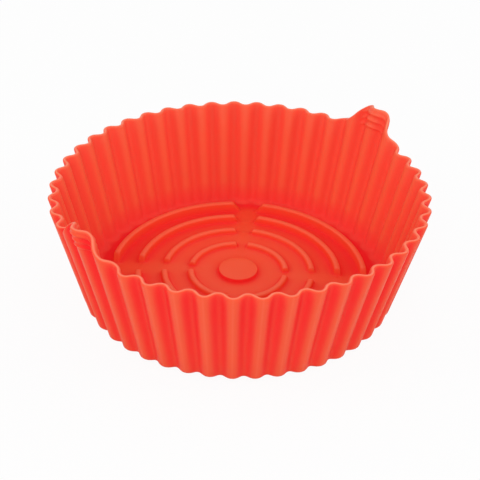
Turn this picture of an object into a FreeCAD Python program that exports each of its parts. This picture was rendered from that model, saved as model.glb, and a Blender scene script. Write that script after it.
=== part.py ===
import FreeCAD, Part
import math
import os
import Sketcher

# A round, fluted silicone liner that sits in the basket of an air fryer.
# It is one moulding: a fluted wall that leans outward, a raised floor with
# broken ring ribs, and two lifting tabs opposite each other.
# The origin is the middle of the ground plane under the liner. The tabs lie on the X axis.

doc = FreeCAD.newDocument("air_fryer_liner")
sheet = doc.addObject("Spreadsheet::Sheet", "Sizes")

# Driving sizes in millimetres and degrees: name, value, meaning
sizes = [
    ("rim_radius", 100.0, "middle of the wall at the rim"),
    ("base_radius", 84.5, "middle of the wall at the ground, before its foot is rounded"),
    ("wall_height", 62.8, "ground to rim"),
    ("wall_thickness", 2.2, "through the fluted wall"),
    ("flute_count", 45.0, "flutes around the wall; an odd number puts a crest opposite a trough"),
    ("rim_wave", 2.0, "half the depth of a flute at the rim"),
    ("base_wave", 1.25, "half the depth of a flute at the ground"),
    ("flute_fullness", 0.92, "roundness of the crests and troughs; at 1 their arcs meet with no flank"),
    ("foot_round", 3.5, "rounding under the foot of the wall"),
    ("inner_round", 3.0, "rounding where the wall meets the floor inside"),
    ("tab_raise", 15.6, "height of a tab over the rim"),
    ("tab_span", 56.0, "width of a tab where it leaves the rim"),
    ("tab_crown", 14.0, "radius of the rounded top of a tab"),
    ("tab_sink", 0.2, "how far below the rim the hollow flanks of a tab would level out"),
    ("grip_count", 3.0, "grip ridges on each face of a tab"),
    ("grip_drop", 3.0, "top of the tab down to the first ridge"),
    ("grip_pitch", 3.7, "one grip ridge to the next"),
    ("grip_width", 2.0, "width of a grip ridge"),
    ("grip_height", 0.7, "how far a grip ridge stands out of the wall"),
    ("grip_reach", 7.8, "middle of the tab to the end of a ridge"),
    ("floor_thickness", 2.4, "through the floor"),
    ("floor_rise", 4.3, "how far the middle of the floor stands over its edge"),
    ("plateau_radius", 40.0, "level middle of the floor"),
    ("slope_radius", 78.3, "where the floor has sloped down to its edge"),
    ("seat_height", 9.1, "ground to the tops of the ribs and the centre disc"),
    ("disc_radius", 11.0, "raised disc in the middle of the floor"),
    ("rib_count", 4.0, "ring ribs on the floor"),
    ("first_rib", 26.7, "radius of the smallest ring rib"),
    ("rib_pitch", 14.85, "one ring rib to the next"),
    ("rib_width", 3.6, "width of a ring rib"),
    ("rib_chamfer", 0.9, "bevel along both top edges of a rib"),
    ("channel_count", 4.0, "radial channels that break the ribs"),
    ("channel_top_angle", 15.0, "opening angle of a channel at the tops of the ribs"),
    ("channel_foot_angle", 6.5, "opening angle of a channel at the foot of the floor"),
]
for row, (name, number, meaning) in enumerate(sizes, start=1):
    sheet.set("A%d" % row, meaning)
    sheet.set("B%d" % row, str(number))
    sheet.setAlias("B%d" % row, name)
doc.recompute()


def size(name):
    return float(sheet.get(name))


def add(kind, name):
    return doc.addObject(kind, name)


# The leaning wall

wall_lean = (size("rim_radius") - size("base_radius")) / size("wall_height")
wave_growth = (size("rim_wave") - size("base_wave")) / size("wall_height")
lean_angle = math.atan(wall_lean)
tab_top = size("wall_height") + size("tab_raise")
clear = 5.0  # how far a cutting or trimming shape runs past what it cuts
flute_count = int(size("flute_count"))
half_flute = math.pi / flute_count


# The middle line of the wall waves about a circle. Crests and troughs are arcs about their own
# centres, joined by straight flanks that touch both arcs. Arcs are numbered around the wall:
# the even ones are troughs, the odd ones crests, and number 0 lies on the +X axis.
# The offset moves the line square to itself, outward where it is positive.
def wave_edges(height, offset, first, last, inset=0.0):
    mean = size("base_radius") + wall_lean * height - inset
    wave = size("base_wave") + wave_growth * height
    half_pitch = mean * math.sin(half_flute)
    rounding = size("flute_fullness") * (wave / 2.0 + half_pitch * half_pitch / (8.0 * wave))
    trough_centre = mean - wave + rounding
    crest_centre = mean + wave - rounding
    step_x = crest_centre * math.cos(half_flute) - trough_centre
    step_y = crest_centre * math.sin(half_flute)
    touch = math.atan2(step_y, step_x) + math.acos(2.0 * rounding / math.hypot(step_x, step_y))

    def arc_point(index, share):
        at = index * half_flute
        if index % 2 == 0:
            centre, radius, direction = trough_centre, rounding - offset, at + math.pi + share * (touch - math.pi)
        else:
            centre, radius, direction = crest_centre, rounding + offset, at + share * (math.pi + half_flute - touch)
        return FreeCAD.Vector(
            centre * math.cos(at) + radius * math.cos(direction),
            centre * math.sin(at) + radius * math.sin(direction),
            0.0,
        )

    edges = []
    for index in range(first, last + 1):
        if edges:
            edges.append(Part.makeLine(arc_point(index - 1, 1.0), arc_point(index, -1.0)))
        corners = [arc_point(index, share) for share in (-1.0, 0.0, 1.0)]
        edges.append(Part.Arc(*corners).toShape())
    return edges


def end_point(edge, share):
    return edge.valueAt(edge.FirstParameter + share * (edge.LastParameter - edge.FirstParameter))


def outline_at(name, height, edges):
    outline = add("Part::Feature", name)
    outline.Shape = Part.Wire(edges)
    outline.Placement = FreeCAD.Placement(FreeCAD.Vector(0.0, 0.0, height), FreeCAD.Rotation())
    return outline


# One face of the wall all the way round
def fluted_outline(name, height, offset, inset=0.0):
    edges = wave_edges(height, offset, 0, 2 * flute_count - 1, inset)
    edges.append(Part.makeLine(end_point(edges[-1], 1.0), end_point(edges[0], 0.0)))
    return outline_at(name, height, edges)


# Both faces of the wall over a few flutes, closed at the ends
def strip_outline(name, height, half_thickness, middle, reach):
    outer = wave_edges(height, half_thickness, middle - reach, middle + reach)
    inner = wave_edges(height, -half_thickness, middle - reach, middle + reach)
    right = Part.makeLine(end_point(inner[0], 0.0), end_point(outer[0], 0.0))
    left = Part.makeLine(end_point(outer[-1], 1.0), end_point(inner[-1], 1.0))
    return outline_at(name, height, Part.__sortEdges__([right] + outer + [left] + inner))


# Outlines up one face of the wall: across the rounding at its foot, then along the straight lean.
# The bend holds the middle of the rounding, where it shows from outside.
def wall_outlines(name, ground, offset, rounding, with_bend):
    half_corner = (math.pi / 2.0 - lean_angle) / 2.0
    run = rounding * math.tan(half_corner)
    middle = rounding * (1.0 / math.cos(half_corner) - 1.0)
    slant = (math.pi / 2.0 + lean_angle) / 2.0
    mid_height = middle * math.sin(slant)
    mid_inset = middle * math.cos(slant) + wall_lean * mid_height
    outlines = [fluted_outline(name + "_foot", ground, offset, run)]
    if with_bend:
        outlines.append(fluted_outline(name + "_bend", ground + mid_height, offset, mid_inset))
    outlines.append(fluted_outline(name + "_heel", ground + run * math.cos(lean_angle), offset))
    outlines.append(fluted_outline(name + "_rim", size("wall_height"), offset))
    return outlines


def loft(name, sections):
    solid = add("Part::Loft", name)
    solid.Sections = sections
    solid.Solid = True
    solid.Ruled = True
    return solid


half_wall = size("wall_thickness") / 2.0
outer_form = loft("outer_form", wall_outlines("outer", 0.0, half_wall, size("foot_round"), True))
bowl_form = loft(
    "bowl_form",
    wall_outlines("inner", size("floor_thickness"), -half_wall, size("inner_round"), False),
)
moulding = add("Part::Cut", "moulding")
moulding.Base = outer_form
moulding.Tool = bowl_form
moulding.Refine = False


# The two stretches of wall, carried on upward, that the tabs and their grip ridges are cut from:
# one about the +X axis and one about the -X axis.
def stretches(name, low, half_thickness):
    half_angle = math.asin(size("tab_span") / 2.0 / size("rim_radius"))
    reach = math.ceil(half_angle / half_flute) + 1
    solids = []
    for side, middle in (("right", 0), ("left", flute_count)):
        title = "%s_%s" % (name, side)
        outlines = [
            strip_outline(title + "_low", low, half_thickness, middle, reach),
            strip_outline(title + "_high", tab_top + clear, half_thickness, middle, reach),
        ]
        solids.append(loft(title, outlines))
    pair = add("Part::Compound", name)
    pair.Links = solids
    return pair


# Sketches that stand upright on the origin, and what is drawn in them

def upright_sketch(name, rotation):
    sketch = add("Sketcher::SketchObject", name)
    sketch.Placement = FreeCAD.Placement(FreeCAD.Vector(0.0, 0.0, 0.0), rotation)
    return sketch


def seen_along_x(name):
    return upright_sketch(name, FreeCAD.Rotation(FreeCAD.Vector(1, 1, 1), 120.0))


def seen_along_y(name):
    return upright_sketch(name, FreeCAD.Rotation(FreeCAD.Vector(1, 0, 0), 90.0))


def bind(sketch, constraint, expression):
    index = sketch.addConstraint(constraint)
    sketch.setExpression("Constraints[%d]" % index, expression)


def line(sketch, start, end):
    return sketch.addGeometry(Part.LineSegment(FreeCAD.Vector(*start, 0), FreeCAD.Vector(*end, 0)), False)


def arc(sketch, centre, radius, start_angle, end_angle):
    circle = Part.Circle(FreeCAD.Vector(*centre, 0), FreeCAD.Vector(0, 0, 1), radius)
    return sketch.addGeometry(Part.ArcOfCircle(circle, start_angle, end_angle), False)


def join(sketch, first, first_end, second, second_end):
    sketch.addConstraint(Sketcher.Constraint("Coincident", first, first_end, second, second_end))


# A closed outline of straight lines. Each corner is two expressions in the sizes.
def polygon(sketch, corners):
    places = [tuple(float(sketch.evalExpression(text)) for text in corner) for corner in corners]
    sides = [line(sketch, place, places[(i + 1) % len(places)]) for i, place in enumerate(places)]
    for i, side in enumerate(sides):
        join(sketch, side, 2, sides[(i + 1) % len(sides)], 1)
        for kind, axis, number, text in (
            ("DistanceX", -2, places[i][0], corners[i][0]),
            ("DistanceY", -1, places[i][1], corners[i][1]),
        ):
            if number == 0.0:
                sketch.addConstraint(Sketcher.Constraint("PointOnObject", side, 1, axis))
            else:
                bind(sketch, Sketcher.Constraint(kind, -1, 1, side, 1, number), text)


def turn_about_z(name, sketch):
    solid = add("Part::Revolution", name)
    solid.Source = sketch
    solid.Axis = FreeCAD.Vector(0, 0, 1)
    solid.Angle = 360.0
    solid.Solid = True
    return solid


def extrude_both_ways(name, sketch):
    solid = add("Part::Extrusion", name)
    solid.Base = sketch
    solid.DirMode = "Normal"
    solid.Solid = True
    solid.Symmetric = True
    solid.LengthFwd = 2.0 * (size("rim_radius") + size("tab_raise") + clear)
    return solid


# The bell of a tab seen along the X axis. Each side is two arcs that meet in a tangent:
# the crown and a hollow flank that runs out to level.
def tab_profile():
    sketch = seen_along_x("tab_profile")
    half = size("tab_span") / 2.0
    foot = size("wall_height") - size("tab_sink")
    rise = tab_top - foot
    crown = size("tab_crown")
    flank = (half * half + rise * rise) / (2.0 * rise) - crown
    turn = 2.0 * math.atan(rise / half)

    flank_right = arc(sketch, (half, foot + flank), flank, 1.5 * math.pi - turn, 1.5 * math.pi)
    top = arc(sketch, (0.0, tab_top - crown), crown, math.pi / 2.0 - turn, math.pi / 2.0 + turn)
    flank_left = arc(sketch, (-half, foot + flank), flank, 1.5 * math.pi, 1.5 * math.pi + turn)
    left = line(sketch, (-half, foot), (-half, foot - clear))
    bottom = line(sketch, (-half, foot - clear), (half, foot - clear))
    right = line(sketch, (half, foot - clear), (half, foot))

    sketch.addConstraint(Sketcher.Constraint("Tangent", flank_right, 1, top, 1))
    sketch.addConstraint(Sketcher.Constraint("Tangent", top, 2, flank_left, 2))
    sketch.addConstraint(Sketcher.Constraint("Perpendicular", flank_left, 1, left, 1))
    sketch.addConstraint(Sketcher.Constraint("Perpendicular", right, 2, flank_right, 2))
    join(sketch, left, 2, bottom, 1)
    join(sketch, bottom, 2, right, 1)
    sketch.addConstraint(Sketcher.Constraint("Vertical", left))
    sketch.addConstraint(Sketcher.Constraint("Vertical", right))
    sketch.addConstraint(Sketcher.Constraint("Horizontal", bottom))
    sketch.addConstraint(Sketcher.Constraint("PointOnObject", top, 3, -2))
    foot_text = "Sizes.wall_height - Sizes.tab_sink"
    bind(sketch, Sketcher.Constraint("Radius", top, crown), "Sizes.tab_crown")
    bind(
        sketch,
        Sketcher.Constraint("DistanceY", -1, 1, top, 3, tab_top - crown),
        "Sizes.wall_height + Sizes.tab_raise - Sizes.tab_crown",
    )
    bind(sketch, Sketcher.Constraint("DistanceX", -1, 1, right, 2, half), "Sizes.tab_span / 2")
    bind(sketch, Sketcher.Constraint("DistanceY", -1, 1, right, 2, foot), foot_text)
    bind(sketch, Sketcher.Constraint("DistanceX", left, 1, -1, 1, half), "Sizes.tab_span / 2")
    bind(sketch, Sketcher.Constraint("DistanceY", -1, 1, left, 1, foot), foot_text)
    sketch.addConstraint(Sketcher.Constraint("DistanceY", bottom, 1, left, 1, clear))
    return sketch


tabs = add("Part::Common", "tabs")
tabs.Base = stretches("tab_wall", size("wall_height"), half_wall)
tabs.Tool = extrude_both_ways("tab_prism", tab_profile())


# Grip ridges: bands that bend with the crown of the tab, cut out of a thicker stretch of wall
def grip_bands():
    sketch = seen_along_x("grip_bands")
    crown = size("tab_crown")
    half_width = size("grip_width") / 2.0
    reach = math.asin(size("grip_reach") / crown)
    right_angle = math.pi / 2.0 - reach
    left_angle = math.pi / 2.0 + reach
    for index in range(int(size("grip_count"))):
        height = tab_top - crown - size("grip_drop") - index * size("grip_pitch")

        def end_of(radius, angle):
            return (radius * math.cos(angle), height + radius * math.sin(angle))

        inside = crown - half_width
        outside = crown + half_width
        upper = arc(sketch, (0.0, height), outside, right_angle, left_angle)
        lower = arc(sketch, (0.0, height), inside, right_angle, left_angle)
        right = line(sketch, end_of(inside, right_angle), end_of(outside, right_angle))
        left = line(sketch, end_of(outside, left_angle), end_of(inside, left_angle))
        join(sketch, lower, 1, right, 1)
        join(sketch, right, 2, upper, 1)
        join(sketch, upper, 2, left, 1)
        join(sketch, left, 2, lower, 2)
        join(sketch, upper, 3, lower, 3)
        sketch.addConstraint(Sketcher.Constraint("PointOnObject", upper, 3, -2))
        width_text = "Sizes.tab_crown %s Sizes.grip_width / 2"
        bind(sketch, Sketcher.Constraint("Radius", upper, outside), width_text % "+")
        bind(sketch, Sketcher.Constraint("Radius", lower, inside), width_text % "-")
        bind(
            sketch,
            Sketcher.Constraint("DistanceY", -1, 1, upper, 3, height),
            "Sizes.wall_height + Sizes.tab_raise - Sizes.tab_crown - Sizes.grip_drop"
            " - %d * Sizes.grip_pitch" % index,
        )
    return sketch


grips = add("Part::Common", "grips")
grips.Base = stretches("grip_wall", size("wall_height") - clear, half_wall + size("grip_height"))
grips.Tool = extrude_both_ways("grip_prisms", grip_bands())


# Ring ribs and the centre disc, turned about the Z axis from inside the floor up to the seat
def rib_profiles():
    sketch = seen_along_y("rib_profiles")
    low = "Sizes.floor_thickness / 2"
    seat = "Sizes.seat_height"
    polygon(sketch, [("0", low), ("Sizes.disc_radius", low), ("Sizes.disc_radius", seat), ("0", seat)])
    for index in range(int(size("rib_count"))):
        middle = "Sizes.first_rib + %d * Sizes.rib_pitch" % index
        inside = middle + " - Sizes.rib_width / 2"
        outside = middle + " + Sizes.rib_width / 2"
        shoulder = seat + " - Sizes.rib_chamfer"
        polygon(
            sketch,
            [
                (inside, low),
                (outside, low),
                (outside, shoulder),
                (outside + " - Sizes.rib_chamfer", seat),
                (inside + " + Sizes.rib_chamfer", seat),
                (inside, shoulder),
            ],
        )
    return sketch


# Radial channels: each widens with the radius and toward its top, so the rib ends slope
def channel_section(name, distance):
    floor = size("floor_thickness")
    seat = size("seat_height")
    foot = math.tan(math.radians(size("channel_foot_angle") / 2.0))
    top = math.tan(math.radians(size("channel_top_angle") / 2.0))
    above = top + (top - foot) * clear / (seat - floor)
    corners = [
        FreeCAD.Vector(distance, -distance * foot, floor),
        FreeCAD.Vector(distance, distance * foot, floor),
        FreeCAD.Vector(distance, distance * above, seat + clear),
        FreeCAD.Vector(distance, -distance * above, seat + clear),
    ]
    section = add("Part::Feature", name)
    section.Shape = Part.makePolygon(corners + corners[:1])
    return section


def channels():
    start = (size("disc_radius") + size("first_rib")) / 2.0
    end = size("first_rib") + size("rib_count") * size("rib_pitch")
    count = int(size("channel_count"))
    cutters = []
    for index in range(count):
        name = "channel_%d" % (index + 1)
        cutter = loft(name, [channel_section(name + "_start", start), channel_section(name + "_end", end)])
        turn = 360.0 * (index + 0.5) / count
        cutter.Placement = FreeCAD.Placement(
            FreeCAD.Vector(0, 0, 0), FreeCAD.Rotation(FreeCAD.Vector(0, 0, 1), turn)
        )
        cutters.append(cutter)
    return cutters


channel_group = add("Part::MultiFuse", "channel_group")
channel_group.Shapes = channels()
ribs = add("Part::Cut", "ribs")
ribs.Base = turn_about_z("whole_ribs", rib_profiles())
ribs.Tool = channel_group


# The floor rises up a slope to a level plateau, and is hollowed below by the same steps.
def floor_profile(name, low, edge, top):
    sketch = seen_along_y(name)
    polygon(
        sketch,
        [
            ("0", low),
            ("Sizes.slope_radius", low),
            ("Sizes.slope_radius", edge),
            ("Sizes.plateau_radius", top),
            ("0", top),
        ],
    )
    return sketch


thickness_text = "Sizes.floor_thickness"
raised_floor = turn_about_z(
    "raised_floor",
    floor_profile("floor_top", thickness_text + " / 2", thickness_text, thickness_text + " + Sizes.floor_rise"),
)
hollow = turn_about_z("hollow", floor_profile("floor_hollow", "-%r" % clear, "0", "Sizes.floor_rise"))

solid_liner = add("Part::MultiFuse", "solid_liner")
solid_liner.Shapes = [moulding, tabs, grips, ribs, raised_floor]
solid_liner.Refine = False
liner = add("Part::Cut", "liner")
liner.Base = solid_liner
liner.Tool = hollow
liner.Label = "liner"

doc.recompute()

for item in doc.Objects:
    if "Invalid" in item.State or "Error" in item.State:
        raise RuntimeError("%s failed: %s" % (item.Name, item.State))
for part in (liner,):
    if part.Shape.isNull() or not part.Shape.isValid():
        raise RuntimeError("%s has no valid shape" % part.Label)
    print(part.Label, "solids", len(part.Shape.Solids), "faces", len(part.Shape.Faces))
    print("volume", round(part.Shape.Volume), "box", part.Shape.BoundBox)

os.makedirs("parts", exist_ok=True)
for part in (liner,):
    part.Shape.exportStep(os.path.join("parts", part.Label + ".step"))
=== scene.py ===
import math
import bmesh
import bpy
from mathutils import Matrix, Vector


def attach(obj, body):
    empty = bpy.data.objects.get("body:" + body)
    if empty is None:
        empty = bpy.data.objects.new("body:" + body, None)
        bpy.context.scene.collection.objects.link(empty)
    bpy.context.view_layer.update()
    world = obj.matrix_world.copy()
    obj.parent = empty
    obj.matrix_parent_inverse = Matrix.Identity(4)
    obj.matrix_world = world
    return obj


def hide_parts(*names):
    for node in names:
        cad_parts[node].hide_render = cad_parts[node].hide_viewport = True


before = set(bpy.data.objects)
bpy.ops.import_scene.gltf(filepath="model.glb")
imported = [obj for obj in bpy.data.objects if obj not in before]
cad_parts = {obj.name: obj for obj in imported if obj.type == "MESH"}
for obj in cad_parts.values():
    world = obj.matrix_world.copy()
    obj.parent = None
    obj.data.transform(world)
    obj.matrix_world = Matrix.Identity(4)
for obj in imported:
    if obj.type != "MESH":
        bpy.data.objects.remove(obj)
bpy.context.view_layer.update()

print("frame loaded:", sorted(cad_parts))

# The liner is modelled in millimetres and brought to metres at the end.
toMetres = 0.001
mergeReach = 0.001     # heights and points closer than this count as the same
fineQuarter = [math.radians(turn) for turn in (0, 30, 60, 90)]
coarseQuarter = [math.radians(turn) for turn in (0, 45, 90)]

wall = {
    "height": 62.8,
    "rimRadius": 100.0,    # to the middle of the wall and of its wave
    "baseRadius": 84.5,
    "thickness": 2.2,
    "flutes": 45,
    "stepsPerFlute": 16,
    "rimWave": 2.0,        # half the depth of a flute at the rim
    "baseWave": 1.25,      # and at the ground
    "fluteFullness": 0.92,
    "footRound": 3.5,
    "innerRound": 3.0,
    "roundSteps": 5,
    "rimSteps": 8,
    "plainRows": (15.0, 30.0),
    "tabStart": 46.0,      # the tabs are drawn up from here
}
lean = (wall["rimRadius"] - wall["baseRadius"]) / wall["height"]
leanAngle = math.atan(lean)
waveGrowth = (wall["rimWave"] - wall["baseWave"]) / wall["height"]
halfWall = wall["thickness"] / 2
halfFlute = math.pi / wall["flutes"]
rimStart = wall["height"] - halfWall     # where the wall starts to round over


# The wave of the wall: arcs at the troughs and crests, straight flanks between them
rowShapes = {}


def rowShape(height, offset, inset):
    key = (round(height, 3), round(offset, 3), round(inset, 3))
    if key not in rowShapes:
        mean = wall["baseRadius"] + lean * height - inset
        wave = wall["baseWave"] + waveGrowth * height
        halfPitch = mean * math.sin(halfFlute)
        rounding = wall["fluteFullness"] * (wave / 2 + halfPitch ** 2 / (8 * wave))
        trough = mean - wave + rounding
        crest = mean + wave - rounding
        stepX = crest * math.cos(halfFlute) - trough
        stepY = crest * math.sin(halfFlute)
        touch = math.atan2(stepY, stepX) + math.acos(2 * rounding / math.hypot(stepX, stepY))
        troughRound = rounding - offset
        crestRound = rounding + offset
        start = Vector((trough + troughRound * math.cos(touch), troughRound * math.sin(touch)))
        end = Vector((
            crest * math.cos(halfFlute) - crestRound * math.cos(touch),
            crest * math.sin(halfFlute) - crestRound * math.sin(touch),
        ))
        rowShapes[key] = (trough, crest, troughRound, crestRound, start, end)
    return rowShapes[key]


def waveRadius(angle, height, offset, inset=0.0):
    trough, crest, troughRound, crestRound, start, end = rowShape(height, offset, inset)
    local = abs((angle + halfFlute) % (2 * halfFlute) - halfFlute)
    if local < math.atan2(start.y, start.x):
        return trough * math.cos(local) - math.sqrt(troughRound ** 2 - (trough * math.sin(local)) ** 2)
    if local > math.atan2(end.y, end.x):
        rest = halfFlute - local
        return crest * math.cos(rest) + math.sqrt(crestRound ** 2 - (crest * math.sin(rest)) ** 2)
    along = end - start
    cross = start.x * along.y - start.y * along.x
    return cross / (math.cos(local) * along.y - math.sin(local) * along.x)


def polarPoint(radius, angle, height):
    return Vector((radius * math.cos(angle), radius * math.sin(angle), height))


def clamped(share):
    return max(0.0, min(1.0, share))


def softMax(first, second, softness):
    return (first + second + math.sqrt((first - second) ** 2 + softness ** 2)) / 2


def softMin(first, second, softness):
    return (first + second - math.sqrt((first - second) ** 2 + softness ** 2)) / 2


# The floor: a level plateau, and a slope down to the foot of the wall
base = {
    "thickness": 2.4,
    "rise": 4.3,
    "plateau": 40.0,
    "slope": 78.3,
    "seat": 9.1,           # the level tops of the disc and the ribs
    "breakSoftness": 0.25,
    "heelRows": (76.2, 77.3, 78.3, 79.3),
    "ringInner": 78.9,     # inner edge of the flat ring that the liner stands on
    "undersideRows": (77.5, 71.0, 60.0, 50.0, 42.0, 40.0, 38.0, 25.0, 10.0),
}
disc = {
    "radius": 11.0,
    "rimBand": 3.0,
    "edge": 0.45,
    "foot": 0.5,
    "draft": 0.05,
    "outerRow": 18.0,      # one row on the plateau between the disc and the first rib
}
rib = {
    "count": 4,
    "first": 26.7,
    "pitch": 14.85,
    "width": 3.6,
    "topRound": 1.15,
    "footRound": 0.8,
    "draft": 0.12,
    "gapRows": (0.38, 0.62),
}


def floorLevel(radius, low):
    share = (base["slope"] - radius) / (base["slope"] - base["plateau"])
    level = softMin(share * base["rise"], base["rise"], base["breakSoftness"])
    return low + softMax(level, 0.0, base["breakSoftness"] / 2)


def ribRows(middle):
    half = rib["width"] / 2
    top = base["seat"] - rib["topRound"]
    rows = []
    for turn in coarseQuarter:
        across = half + rib["footRound"] * (1 - math.sin(turn))
        rows.append((across, None, rib["footRound"] * (1 - math.cos(turn))))
    shoulder = half - rib["draft"]
    for turn in fineQuarter:
        across = shoulder - rib["topRound"] * (1 - math.cos(turn))
        rows.append((across, top + rib["topRound"] * math.sin(turn), 0))
    points = []
    for side, order in ((-1, rows), (1, rows[::-1])):
        for across, level, lift in order:
            radius = middle + side * across
            if level is None:
                level = floorLevel(radius, base["thickness"]) + lift
            points.append((radius, level))
    return points


# The section that is spun about Z, from the middle of the floor out, up and back under.
# Each row is (zone, radius, height, offset from the middle of the wall, inset).
section = []


def floorPoint(radius, height, zone="floor"):
    section.append((zone, radius, height, 0.0, 0.0))


def wallPoint(height, offset, inset=0.0):
    radius = wall["baseRadius"] + lean * height - inset + offset
    section.append(("wall", radius, height, offset, inset))


# Height and inset at one turn of the round between the wall and a level below it
def footRow(turn, ground, rounding):
    run = rounding * math.tan((math.pi / 2 - leanAngle) / 2)
    rise = rounding * (1 + math.sin(turn))
    return ground + rise, run + lean * rise - rounding * math.cos(turn)


# The disc
floorPoint(0.0, base["seat"])
floorPoint(disc["radius"] - disc["rimBand"], base["seat"])
for turn in reversed(fineQuarter):
    floorPoint(
        disc["radius"] - disc["edge"] * (1 - math.cos(turn)),
        base["seat"] - disc["edge"] * (1 - math.sin(turn)),
    )
for turn in reversed(coarseQuarter):
    radius = disc["radius"] + disc["draft"] + disc["foot"] * (1 - math.sin(turn))
    floorPoint(radius, floorLevel(radius, base["thickness"]) + disc["foot"] * (1 - math.cos(turn)))
floorPoint(disc["outerRow"], floorLevel(disc["outerRow"], base["thickness"]))

# The ring ribs and the floor between them, then the floor out to the heel
for index in range(rib["count"]):
    middle = rib["first"] + index * rib["pitch"]
    for radius, height in ribRows(middle):
        floorPoint(radius, height, "rib")
    if index < rib["count"] - 1:
        for share in rib["gapRows"]:
            radius = middle + share * rib["pitch"]
            floorPoint(radius, floorLevel(radius, base["thickness"]))
for radius in base["heelRows"]:
    floorPoint(radius, floorLevel(radius, base["thickness"]))

# Up the inside, over the rim, down the outside
bodyRows = [*wall["plainRows"], wall["tabStart"]]
footTurn = math.pi / 2 - leanAngle
for step in range(wall["roundSteps"] + 1):
    turn = -math.pi / 2 + footTurn * step / wall["roundSteps"]
    height, inset = footRow(turn, base["thickness"], wall["innerRound"])
    wallPoint(height, -halfWall, inset)
for height in bodyRows:
    wallPoint(height, -halfWall)
for step in range(wall["rimSteps"] + 1):
    turn = math.pi * step / wall["rimSteps"]
    wallPoint(rimStart + halfWall * math.sin(turn), -halfWall * math.cos(turn))
for height in reversed(bodyRows):
    wallPoint(height, halfWall)
for step in range(wall["roundSteps"] + 1):
    turn = -leanAngle - footTurn * step / wall["roundSteps"]
    height, inset = footRow(turn, 0.0, wall["footRound"])
    wallPoint(height, halfWall, inset)

# The flat ring on the ground and the hollow under the floor
floorPoint(base["ringInner"], 0.0, "under")
for radius in base["undersideRows"]:
    floorPoint(radius, floorLevel(radius, 0.0), "under")
floorPoint(0.0, floorLevel(0.0, 0.0), "under")
print("section rows:", len(section))

# Spin the section
bm = bmesh.new()
rowTag = bm.verts.layers.int.new("row")
# how much painted highlight pales the colour at each point
paintedLightTag = bm.verts.layers.float.new("edge")
# how strongly painted shade may darken the colour at each point
paintedShadeTag = bm.verts.layers.float.new("paintedShade")
previous = None
for index, row in enumerate(section):
    point = bm.verts.new((row[1], 0.0, row[2]))
    point[rowTag] = index
    if previous:
        bm.edges.new((previous, point))
    previous = point
bmesh.ops.spin(
    bm, geom=bm.verts[:] + bm.edges[:], cent=(0, 0, 0), axis=(0, 0, 1),
    angle=2 * math.pi, steps=wall["flutes"] * wall["stepsPerFlute"], use_merge=True,
)
poles = [vert for vert in bm.verts if vert.co.xy.length < 10 * mergeReach]
bmesh.ops.remove_doubles(bm, verts=poles, dist=mergeReach)
print("spun:", len(bm.verts), "points")


# The tabs: a bell drawn up from the wall, with arched grip ridges on both faces
tab = {
    "raise": 15.55,
    "span": 56.0,
    "crown": 14.0,
    "sink": 0.2,
    "blend": 0.4,
    "reach": 20.0,         # degrees either side that are drawn up
    "settling": 3,         # rounds in which height and radius settle
    "slopeStep": 0.05,
    "gripDrop": 3.0,
    "gripPitch": 3.7,
    "gripCount": 3,
    "gripWidth": 2.3,
    "gripHeight": 0.7,
    "gripFlank": 1.3,
    "gripReach": 7.6,
    "gripZone": 7.8,       # degrees either side that get the fine rows
    "gripRows": 64,
}
tabTop = wall["height"] + tab["raise"]


def fromTab(angle):
    return abs((angle + math.pi / 2) % math.pi - math.pi / 2)


# Fine rows for the grip ridges, between the start of the tabs and the rim
upright = []
tabLevels = (wall["tabStart"], rimStart)
tabRows = [
    index for index, row in enumerate(section)
    if min(abs(row[2] - level) for level in tabLevels) < mergeReach
]
for edge in bm.edges:
    first, second = edge.verts
    if first[rowTag] in tabRows and second[rowTag] in tabRows and first[rowTag] != second[rowTag]:
        if fromTab(math.atan2(first.co.y, first.co.x)) < math.radians(tab["gripZone"]):
            upright.append(edge)
fine = bmesh.ops.subdivide_edges(bm, edges=upright, cuts=tab["gripRows"], use_grid_fill=False)
fineVerts = {vert for vert in fine["geom_inner"] if isinstance(vert, bmesh.types.BMVert)}
print("grip rows:", len(upright), "columns")


def bellHeight(across):
    rise = tab["raise"] + tab["sink"]
    half = tab["span"] / 2
    foot = wall["height"] - tab["sink"]
    flank = (half * half + rise * rise) / (2 * rise) - tab["crown"]
    turn = 2 * math.atan(rise / half)
    across = abs(across)
    if across < tab["crown"] * math.sin(turn):
        return tabTop - tab["crown"] + math.sqrt(tab["crown"] ** 2 - across ** 2)
    if across < half:
        bell = foot + flank - math.sqrt(flank ** 2 - (half - across) ** 2)
        return softMax(bell, wall["height"], tab["blend"])
    return wall["height"]


def drawnUp(height, across):
    if height <= wall["tabStart"]:
        return height
    top = bellHeight(across)
    step = tab["slopeStep"]
    slope = (bellHeight(across + step) - bellHeight(across - step)) / (2 * step)
    stretch = math.sqrt(1 + slope * slope)
    if height >= rimStart:
        return top - (wall["height"] - height) * stretch
    shoulder = top - halfWall * stretch
    share = (height - wall["tabStart"]) / (rimStart - wall["tabStart"])
    return wall["tabStart"] + share * (shoulder - wall["tabStart"])


def gripLift(across, height):
    lift = 0.0
    limit = math.asin(tab["gripReach"] / tab["crown"])
    for index in range(tab["gripCount"]):
        centre = tabTop - tab["crown"] - tab["gripDrop"] - index * tab["gripPitch"]
        turn = max(-limit, min(limit, math.atan2(across, height - centre)))
        away = math.hypot(
            across - tab["crown"] * math.sin(turn),
            height - centre - tab["crown"] * math.cos(turn),
        )
        share = away / (tab["gripWidth"] / 2)
        if share < 1:
            lift = max(lift, tab["gripHeight"] * (1 - share ** 2) ** tab["gripFlank"])
    return lift


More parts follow.
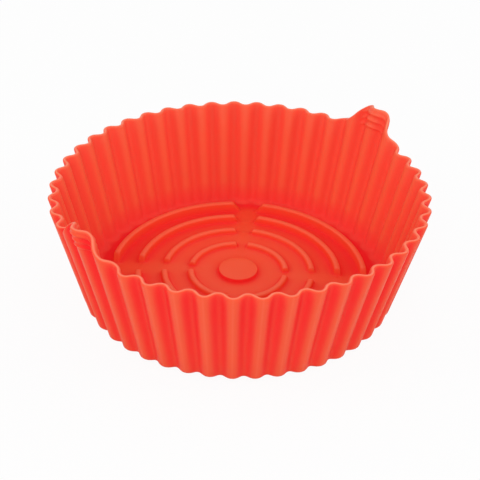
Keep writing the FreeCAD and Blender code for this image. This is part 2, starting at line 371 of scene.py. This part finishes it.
def wavedPoint(angle, height, offset, inset):
    nearTab = fromTab(angle) < math.radians(tab["reach"])
    lifted = height
    for attempt in range(tab["settling"] if nearTab else 0):
        radius = waveRadius(angle, lifted, offset, inset)
        lifted = drawnUp(height, radius * math.sin(angle))
    radius = waveRadius(angle, lifted, offset, inset)
    onFace = abs(offset) > halfWall - mergeReach and height > wall["tabStart"]
    if nearTab and onFace:
        lift = gripLift(radius * math.sin(angle), lifted)
        if lift > 0:
            radius = waveRadius(angle, lifted, offset + math.copysign(lift, offset), inset)
    return polarPoint(radius, angle, lifted)


# The channels that break the ribs, with angles in degrees either side of their middle
channel = {"count": 4, "topAngle": 7.5, "footAngle": 3.25, "softness": 0.35}
ribLimits = []
for index in range(rib["count"]):
    rows = ribRows(rib["first"] + index * rib["pitch"])
    ribLimits.append([row[0] for row in rows])


def channelLevel(angle):
    spacing = 2 * math.pi / channel["count"]
    away = abs(math.degrees(angle % spacing - spacing / 2))
    share = (away - channel["footAngle"]) / (channel["topAngle"] - channel["footAngle"])
    return base["thickness"] + share * (base["seat"] - base["thickness"])


# A rib that a channel cuts down spreads its rows over the floor
def cutPoint(angle, radius, height):
    ground = floorLevel(radius, base["thickness"])
    if height - ground < mergeReach:
        return polarPoint(radius, angle, height)
    cut = softMin(height, channelLevel(angle), channel["softness"])
    level = min(softMax(cut, ground, channel["softness"] / 2), height)
    flatness = 1 - (level - ground) / (height - ground)
    index = min(range(rib["count"]), key=lambda i: abs(radius - rib["first"] - i * rib["pitch"]))
    limits = ribLimits[index]
    place = min(range(len(limits)), key=lambda i: abs(limits[i] - radius))
    even = limits[0] + (limits[-1] - limits[0]) * place / (len(limits) - 1)
    radius += flatness * (even - radius)
    return polarPoint(radius, angle, max(level, floorLevel(radius, base["thickness"])))


# Painted highlight, as a paler colour: the thin edge of the rim fully, the tops of the ribs less;
# painted light also lifts the whole inner face a little
paintedLight = {
    "inner": 0.22,
    "crest": 0.14,         # a thin line down each crest outside
    "crestReach": 0.3,     # in half steps of the spin
    "rimFrom": 0.8,        # share of the rim's height where it starts
    "rib": 0.24,
    "ribRound": 0.6,       # share of a rib's top round that it rises over
}
# How strongly painted shade darkens the colour in the recesses, zone by zone
paintedShadeStrength = {
    "floor": 0.74,
    "rib": 0.15,
    "heel": 0.88,
    "inner": 0.62,
    "outer": 0.87,
    "under": 0.6,
}
heelRadius = 75.5      # the heel is the floor outside this
heelHeight = 12.0      # and the inside of the wall below this


# Painted highlight on the rim and down the outer crests, and painted light over the inner face
def wallPaintedLight(angle, height, offset):
    fromCrest = abs(angle % (2 * halfFlute) - halfFlute)
    onCrest = fromCrest < paintedLight["crestReach"] * halfFlute / wall["stepsPerFlute"]
    least = paintedLight["inner"] if offset < 0 else onCrest * paintedLight["crest"]
    rimShare = ((height - rimStart) / halfWall - paintedLight["rimFrom"]) / (1 - paintedLight["rimFrom"])
    return max(least, min(1.0, rimShare))


# Painted highlight along the top round of a rib
def ribPaintedLight(height):
    topStart = base["seat"] - rib["topRound"]
    return paintedLight["rib"] * clamped((height - topStart) / (paintedLight["ribRound"] * rib["topRound"]))


# Painted shade strength on the wall: outside, inside near the floor, and higher up inside
def wallPaintedShade(height, offset):
    if offset > 0:
        return paintedShadeStrength["outer"]
    return paintedShadeStrength["heel" if height < heelHeight else "inner"]


# The floor's painted shade strength at the foot of a rib, and the rib's own from half way up
def ribPaintedShade(radius, height):
    ground = floorLevel(radius, base["thickness"])
    risen = clamped(2 * (height - ground) / (base["seat"] - ground))
    return paintedShadeStrength["floor"] + risen * (paintedShadeStrength["rib"] - paintedShadeStrength["floor"])


# Each point is moved into place and given its share of painted highlight and painted shade
for vert in bm.verts:
    angle = math.atan2(vert.co.y, vert.co.x)
    zone, radius, height, offset, inset = section[vert[rowTag]]
    if vert in fineVerts:
        outside = vert.co.xy.length > wall["baseRadius"] + lean * vert.co.z
        zone, height, inset = "wall", vert.co.z, 0.0
        offset = halfWall if outside else -halfWall
    if zone == "wall":
        vert.co = wavedPoint(angle, height, offset, inset)
        vert[paintedLightTag] = wallPaintedLight(angle, height, offset)
        vert[paintedShadeTag] = wallPaintedShade(height, offset)
    elif zone == "rib":
        vert.co = cutPoint(angle, radius, height)
        vert[paintedLightTag] = ribPaintedLight(vert.co.z)
        vert[paintedShadeTag] = ribPaintedShade(radius, vert.co.z)
    else:
        atHeel = zone == "floor" and radius > heelRadius
        vert[paintedShadeTag] = paintedShadeStrength["heel" if atHeel else zone]
bmesh.ops.recalc_face_normals(bm, faces=bm.faces[:])
bmesh.ops.scale(bm, vec=(toMetres, toMetres, toMetres), verts=bm.verts[:])
for face in bm.faces:
    face.smooth = True
mesh = bpy.data.meshes.new("linerBody")
bm.to_mesh(mesh)
bm.free()
liner = bpy.data.objects.new("linerBody", mesh)
bpy.context.scene.collection.objects.link(liner)
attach(liner, "root")
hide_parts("liner")
triangles = sum(len(polygon.vertices) - 2 for polygon in mesh.polygons)
print("liner:", len(mesh.polygons), "faces,", triangles, "triangles")


# Satin red silicone, with painted shade in the recesses and painted highlight along the edges; lengths
# in metres
silicone = {
    "colour": (0.9, 0.1, 0.035, 1.0),
    "deeper": (0.89, 0.092, 0.031, 1.0),
    # the colour of the painted shade in the recesses
    "recessShade": (0.93, 0.012, 0.03, 1.0),
    # the colour of the painted highlight
    "edge": (0.97, 0.23, 0.13, 1.0),
    "recessReach": 0.015,
    "recessPower": 8.0,
    "recessSamples": 12,
    "cloudScale": 28.0,
    "cloudDetail": 3.0,
    "roughness": (0.35, 0.46),
    "cloudRange": (0.3, 0.7),
    "ior": 1.42,
    "specular": 0.3,
    "scatter": 0.15,
    "scatterRadius": (1.0, 0.22, 0.12),
    "scatterScale": 0.003,
    "grain": 0.03,
    "grainScale": 1600.0,
    "grainDetail": 2.0,
    "grainDepth": 0.0002,
}


# A node's input takes another node's output or a plain value
def feed(links, target, source):
    if isinstance(source, bpy.types.NodeSocket):
        links.new(source, target)
    else:
        target.default_value = source


def mixColours(nodes, links, factor, first, second):
    mix = nodes.new("ShaderNodeMix")
    mix.data_type = "RGBA"
    feed(links, mix.inputs["Factor"], factor)
    feed(links, mix.inputs["A"], first)
    feed(links, mix.inputs["B"], second)
    return mix.outputs["Result"]


def mathNode(nodes, links, operation, first, second):
    node = nodes.new("ShaderNodeMath")
    node.operation = operation
    feed(links, node.inputs[0], first)
    feed(links, node.inputs[1], second)
    return node.outputs["Value"]


def attributeOf(nodes, name):
    node = nodes.new("ShaderNodeAttribute")
    node.attribute_name = name
    return node.outputs["Fac"]


def noiseOf(nodes, links, place, scale, detail):
    noise = nodes.new("ShaderNodeTexNoise")
    noise.inputs["Scale"].default_value = scale
    noise.inputs["Detail"].default_value = detail
    links.new(place.outputs["Object"], noise.inputs["Vector"])
    return noise.outputs["Fac"]


def siliconeMaterial():
    material = bpy.data.materials.new("redSilicone")
    material.use_nodes = True
    nodes = material.node_tree.nodes
    links = material.node_tree.links
    shader = nodes["Principled BSDF"]
    shader.inputs["Subsurface Weight"].default_value = silicone["scatter"]
    shader.inputs["Subsurface Radius"].default_value = silicone["scatterRadius"]
    shader.inputs["Subsurface Scale"].default_value = silicone["scatterScale"]
    shader.inputs["IOR"].default_value = silicone["ior"]
    place = nodes.new("ShaderNodeTexCoord")
    cloud = noiseOf(nodes, links, place, silicone["cloudScale"], silicone["cloudDetail"])

    # Recesses lose their shine, and ambient occlusion paints shade into them as a darker colour
    recessShade = nodes.new("ShaderNodeAmbientOcclusion")
    recessShade.samples = silicone["recessSamples"]
    recessShade.only_local = True
    recessShade.inputs["Distance"].default_value = silicone["recessReach"]
    openness = mathNode(nodes, links, "POWER", recessShade.outputs["AO"], silicone["recessPower"])
    shine = mathNode(nodes, links, "MULTIPLY", openness, silicone["specular"])
    links.new(shine, shader.inputs["Specular IOR Level"])
    closed = mathNode(nodes, links, "SUBTRACT", 1.0, openness)
    paintedShadeShare = mathNode(nodes, links, "MULTIPLY", closed, attributeOf(nodes, "paintedShade"))

    body = mixColours(nodes, links, cloud, silicone["colour"], silicone["deeper"])
    # Painted shade: the colour darkens where ambient occlusion finds a recess
    body = mixColours(nodes, links, paintedShadeShare, body, silicone["recessShade"])
    # Painted highlight pales the colour along the rim, the rib tops and the crests
    body = mixColours(nodes, links, attributeOf(nodes, "edge"), body, silicone["edge"])
    links.new(body, shader.inputs["Base Color"])

    haze = nodes.new("ShaderNodeMapRange")
    haze.inputs["From Min"].default_value, haze.inputs["From Max"].default_value = silicone["cloudRange"]
    haze.inputs["To Min"].default_value, haze.inputs["To Max"].default_value = silicone["roughness"]
    links.new(cloud, haze.inputs["Value"])
    links.new(haze.outputs["Result"], shader.inputs["Roughness"])

    bump = nodes.new("ShaderNodeBump")
    bump.inputs["Strength"].default_value = silicone["grain"]
    bump.inputs["Distance"].default_value = silicone["grainDepth"]
    grain = noiseOf(nodes, links, place, silicone["grainScale"], silicone["grainDetail"])
    links.new(grain, bump.inputs["Height"])
    links.new(bump.outputs["Normal"], shader.inputs["Normal"])
    return material


mesh.materials.append(siliconeMaterial())
print("silicone ready")


# Floor, light and camera
white = (1.0, 1.0, 1.0, 1.0)
studio = {
    "floorSize": 12.0,
    "floorDrop": 0.0002,
    "floorColour": (0.8, 0.8, 0.8, 1.0),
    "floorRoughness": 0.9,
    "floorShine": 0.1,
    "floorGlow": 0.93,     # how far the floor the camera sees is plain white
    "worldStrength": 0.8,
    "lampTarget": (0.0, 0.0, 0.03),
    "lamps": [             # name, (right, away, up) as the camera sees it, energy, size
        ("frontLamp", (-0.1, -1.2, 0.8), 4.6, 0.8),
        ("leftLamp", (-1.2, -0.2, 0.7), 2.2, 0.6),
        ("rightLamp", (1.2, -0.1, 0.7), 2.5, 0.6),
    ],
}


def makeFloor():
    bm = bmesh.new()
    bmesh.ops.create_grid(bm, x_segments=1, y_segments=1, size=studio["floorSize"] / 2)
    bmesh.ops.translate(bm, vec=(0, 0, -studio["floorDrop"]), verts=bm.verts[:])
    mesh = bpy.data.meshes.new("studioFloor")
    bm.to_mesh(mesh)
    bm.free()
    floor = bpy.data.objects.new("studioFloor", mesh)
    bpy.context.scene.collection.objects.link(floor)
    material = bpy.data.materials.new("paleFloor")
    material.use_nodes = True
    nodes = material.node_tree.nodes
    links = material.node_tree.links
    shader = nodes["Principled BSDF"]
    shader.inputs["Base Color"].default_value = studio["floorColour"]
    shader.inputs["Roughness"].default_value = studio["floorRoughness"]
    shader.inputs["Specular IOR Level"].default_value = studio["floorShine"]
    glow = nodes.new("ShaderNodeEmission")
    glow.inputs["Color"].default_value = white
    path = nodes.new("ShaderNodeLightPath")
    blend = nodes.new("ShaderNodeMixShader")
    share = mathNode(nodes, links, "MULTIPLY", path.outputs["Is Camera Ray"], studio["floorGlow"])
    links.new(share, blend.inputs["Fac"])
    links.new(shader.outputs["BSDF"], blend.inputs[1])
    links.new(glow.outputs["Emission"], blend.inputs[2])
    links.new(blend.outputs["Shader"], nodes["Material Output"].inputs["Surface"])
    mesh.materials.append(material)


# The camera sees white behind the floor, and the object gets the softer light
def makeWorld():
    world = bpy.data.worlds.new("studioWorld")
    world.use_nodes = True
    nodes = world.node_tree.nodes
    links = world.node_tree.links
    soft = nodes["Background"]
    soft.inputs["Color"].default_value = white
    soft.inputs["Strength"].default_value = studio["worldStrength"]
    backdrop = nodes.new("ShaderNodeBackground")
    backdrop.inputs["Color"].default_value = white
    backdrop.inputs["Strength"].default_value = 1.0
    path = nodes.new("ShaderNodeLightPath")
    pick = nodes.new("ShaderNodeMixShader")
    links.new(path.outputs["Is Camera Ray"], pick.inputs["Fac"])
    links.new(soft.outputs["Background"], pick.inputs[1])
    links.new(backdrop.outputs["Background"], pick.inputs[2])
    links.new(pick.outputs["Shader"], nodes["World Output"].inputs["Surface"])
    bpy.context.scene.world = world


# A pose at place that looks at target, rolled in degrees
def aimed(place, target, roll=0.0):
    away = (Vector(place) - Vector(target)).normalized()
    right = Vector((0, 0, 1)).cross(away).normalized()
    up = away.cross(right)
    turn = math.radians(roll)
    tilted = math.cos(turn) * right + math.sin(turn) * up
    upward = -math.sin(turn) * right + math.cos(turn) * up
    matrix = Matrix((tilted, upward, away)).transposed().to_4x4()
    matrix.translation = Vector(place)
    return matrix


def makeLamp(name, place, energy, size):
    data = bpy.data.lights.new(name, "AREA")
    data.shape = "DISK"
    data.size = size
    data.energy = energy
    lamp = bpy.data.objects.new(name, data)
    lamp.matrix_world = aimed(place, studio["lampTarget"])
    bpy.context.scene.collection.objects.link(lamp)


view = {
    "facing": -40.95,      # degrees the view is turned about Z
    "elevation": 33.41,
    "distance": 0.6408,
    "roll": 1.52,
    "target": (0.0006, 0.0283),    # right and up
    "focal": 1152.6,       # in pixels of a 480 pixel frame
    "frame": 480.0,
    "sensor": 36.0,
    "clip": (0.01, 50.0),
}
turned = Matrix.Rotation(math.radians(view["facing"]), 3, "Z")


def inView(right, away, up):
    return turned @ Vector((right, away, up))


def makeCamera():
    data = bpy.data.cameras.new("studioCamera")
    data.sensor_width = view["sensor"]
    data.lens = view["focal"] * view["sensor"] / view["frame"]
    data.clip_start, data.clip_end = view["clip"]
    elevation = math.radians(view["elevation"])
    side, height = view["target"]
    back = view["distance"] * math.cos(elevation)
    place = inView(side, -back, height + view["distance"] * math.sin(elevation))
    camera = bpy.data.objects.new("studioCamera", data)
    camera.matrix_world = aimed(place, inView(side, 0.0, height), view["roll"])
    bpy.context.scene.collection.objects.link(camera)
    bpy.context.scene.camera = camera


makeFloor()
makeWorld()
for name, place, energy, size in studio["lamps"]:
    makeLamp(name, inView(*place), energy, size)
makeCamera()
bpy.context.scene.view_settings.view_transform = "Standard"
print("studio ready")
